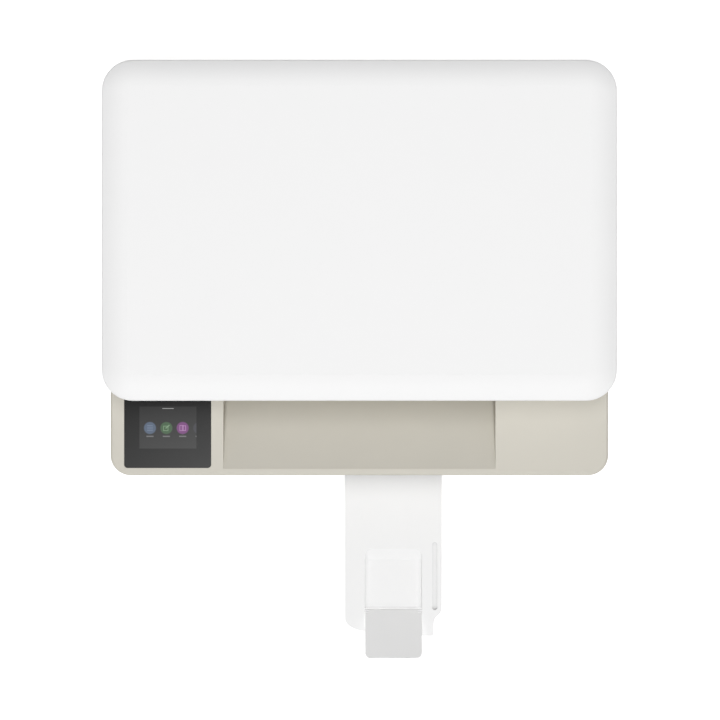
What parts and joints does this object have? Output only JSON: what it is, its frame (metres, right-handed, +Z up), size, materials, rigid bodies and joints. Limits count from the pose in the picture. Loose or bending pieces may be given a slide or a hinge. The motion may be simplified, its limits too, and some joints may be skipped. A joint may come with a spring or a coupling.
{
  "type": "inkjet printer",
  "caption": "Flat inkjet printer with a hinged scanner lid, lifting scanner unit, glass display, front paper tray and pull-out output extension with a stop flap.",
  "frame": {"origin": "bottom centre of the bounding box with the output extension pulled out", "axes": "+Z up, +Y to the printer's back, +X to its right as seen from the front"},
  "size_m": [0.43, 0.5104, 0.148],
  "materials": {
    "lid_white": "satin, fine moulded grain",
    "body_beige": "matte, fine moulded grain",
    "display_black": "polished black glass",
    "clear_glass": "clear",
    "pad_white": "soft white foam sheet",
    "liner_white": "matte",
    "dark_plastic": "matte black",
    "pan_grey": "matte",
    "guide_grey": "matte",
    "gear_white": "natural acetal",
    "soft_rubber": "matte rubber",
    "plated_steel": "zinc plated",
    "board_green": "solder mask",
    "supply_black": "matte black"
  },
  "bodies": {
    "base": {"base_pan": "pan_grey", "case_screws": "plated_steel", "rubber_feet": "soft_rubber", "front_cover": "body_beige", "left_side_cover": "body_beige", "right_side_cover": "body_beige", "rear_cover": "body_beige", "display_glass": "display_black", "display_panel": "dark_plastic", "output_floor": "dark_plastic", "left_frame": "plated_steel", "right_frame": "plated_steel", "main_board": "board_green", "usb_port": "plated_steel", "power_supply": "supply_black", "power_inlet": "dark_plastic", "platen": "dark_plastic", "feed_motor": "plated_steel", "pinch_bar": "dark_plastic", "star_bar": "dark_plastic", "chassis_beam": "plated_steel", "carriage_rod": "plated_steel", "carriage_motor": "plated_steel", "drive_belt": "soft_rubber", "rear_paper_guide": "dark_plastic", "service_station": "dark_plastic", "scanner_hinges": "guide_grey"},
    "extension": {"output_extension": "lid_white"},
    "flap": {"stop_flap": "lid_white"},
    "tray": {"paper_tray": "dark_plastic", "tray_front": "body_beige"},
    "left_guide": {"left_width_guide": "guide_grey"},
    "right_guide": {"right_width_guide": "guide_grey"},
    "guide_wheel": {"guide_pinion": "gear_white"},
    "button": {"power_button": "guide_grey"},
    "feed": {"feed_roller": "plated_steel", "feed_gear": "gear_white"},
    "idler": {"idler_gear": "gear_white"},
    "eject": {"eject_roller": "plated_steel", "eject_gear": "gear_white"},
    "pinion": {"motor_pinion": "gear_white"},
    "pinch": {"pinch_rollers": "soft_rubber"},
    "stars": {"star_wheels": "plated_steel"},
    "drive_wheel": {"motor_pulley": "gear_white"},
    "tail_wheel": {"idler_pulley": "gear_white"},
    "carriage": {"print_carriage": "dark_plastic", "black_cartridge": "dark_plastic", "colour_cartridge": "guide_grey"},
    "pick": {"pick_arm": "dark_plastic"},
    "pick_wheel": {"pick_roller": "soft_rubber"},
    "caps": {"cap_sled": "soft_rubber"},
    "scanner": {"scanner_base": "lid_white", "scanner_top_frame": "lid_white", "hinge_pins": "plated_steel", "scanner_glass": "clear_glass", "scan_rod": "plated_steel"},
    "sensor": {"scan_bar": "dark_plastic"},
    "lid": {"scanner_lid": "lid_white", "lid_liner": "liner_white", "document_pad": "pad_white"}
  },
  "joints": [
    {"name": "scanner_lift", "type": "hinge", "parent": "base", "child": "scanner", "pos_m": [0, 0.24516, 0.107], "axis": [-1, 0, 0], "range_deg": [0, 40]},
    {"name": "lid_open", "type": "hinge", "parent": "scanner", "child": "lid", "pos_m": [0, 0.24866, 0.135], "axis": [-1, 0, 0], "range_deg": [0, 85]},
    {"name": "sensor_travel", "type": "slide", "parent": "scanner", "child": "sensor", "axis": [1, 0, 0], "range_m": [0, 0.33]},
    {"name": "tray_pull", "type": "slide", "parent": "base", "child": "tray", "axis": [0, -1, 0], "range_m": [0, 0.18]},
    {"name": "guide_close", "type": "slide", "parent": "tray", "child": "left_guide", "axis": [1, 0, 0], "range_m": [0, 0.055]},
    {"name": "guide_follow", "type": "slide", "parent": "tray", "child": "right_guide", "axis": [-1, 0, 0], "range_m": [0, 0.055]},
    {"name": "guide_wheel_turn", "type": "hinge", "parent": "tray", "child": "guide_wheel", "pos_m": [0, 0.07, 0.0077], "axis": [0, 0, -1], "range_deg": [0, 270]},
    {"name": "extension_slide", "type": "slide", "parent": "base", "child": "extension", "axis": [0, 1, 0], "range_m": [0, 0.133]},
    {"name": "flap_fold", "type": "hinge", "parent": "extension", "child": "flap", "pos_m": [0.0298, -0.21514, 0.0447], "axis": [-1, 0, 0], "range_deg": [0, 155]},
    {"name": "carriage_travel", "type": "slide", "parent": "base", "child": "carriage", "axis": [-1, 0, 0], "range_m": [0, 0.265]},
    {"name": "drive_wheel_turn", "type": "hinge", "parent": "base", "child": "drive_wheel", "pos_m": [0.1705, 0.15516, 0.08], "axis": [0, -1, 0], "continuous": true},
    {"name": "tail_wheel_turn", "type": "hinge", "parent": "base", "child": "tail_wheel", "pos_m": [-0.1525, 0.15516, 0.08], "axis": [0, -1, 0], "continuous": true},
    {"name": "feed_turn", "type": "hinge", "parent": "base", "child": "feed", "pos_m": [0, 0.11316, 0.046], "axis": [1, 0, 0], "continuous": true},
    {"name": "idler_turn", "type": "hinge", "parent": "base", "child": "idler", "pos_m": [0, 0.08919, 0.04713], "axis": [1, 0, 0], "continuous": true},
    {"name": "eject_turn", "type": "hinge", "parent": "base", "child": "eject", "pos_m": [0, 0.07071, 0.048], "axis": [1, 0, 0], "continuous": true},
    {"name": "pinion_turn", "type": "hinge", "parent": "base", "child": "pinion", "pos_m": [0, 0.13118, 0.03338], "axis": [1, 0, 0], "continuous": true},
    {"name": "pinch_turn", "type": "hinge", "parent": "base", "child": "pinch", "pos_m": [0, 0.11316, 0.0558], "axis": [1, 0, 0], "continuous": true},
    {"name": "star_turn", "type": "hinge", "parent": "base", "child": "stars", "pos_m": [0, 0.07071, 0.0558], "axis": [1, 0, 0], "continuous": true},
    {"name": "pick_lift", "type": "hinge", "parent": "base", "child": "pick", "pos_m": [0, 0.15671, 0.0401], "axis": [1, 0, 0], "range_deg": [0, 12]},
    {"name": "pick_turn", "type": "hinge", "parent": "pick", "child": "pick_wheel", "pos_m": [0, 0.20671, 0.0214], "axis": [1, 0, 0], "continuous": true},
    {"name": "cap_lower", "type": "slide", "parent": "base", "child": "caps", "axis": [0, 0, -1], "range_m": [0, 0.005]},
    {"name": "power_press", "type": "slide", "parent": "base", "child": "button", "axis": [0, -1, 0], "range_m": [0, 0.0015], "stiffness_N_per_m": 500}
  ],
  "couplings": [
    {"joint": "guide_follow", "follows": "guide_close", "ratio": 1},
    {"joint": "guide_wheel_turn", "follows": "guide_close", "rad_per_m": 83.333},
    {"joint": "drive_wheel_turn", "follows": "carriage_travel", "rad_per_m": 147.06},
    {"joint": "tail_wheel_turn", "follows": "carriage_travel", "rad_per_m": 147.06},
    {"joint": "idler_turn", "follows": "feed_turn", "ratio": -2},
    {"joint": "eject_turn", "follows": "feed_turn", "ratio": 1.5238},
    {"joint": "pinion_turn", "follows": "feed_turn", "ratio": -2.6667},
    {"joint": "pinch_turn", "follows": "feed_turn", "ratio": -1.7143},
    {"joint": "star_turn", "follows": "feed_turn", "ratio": -1.7415}
  ]
}
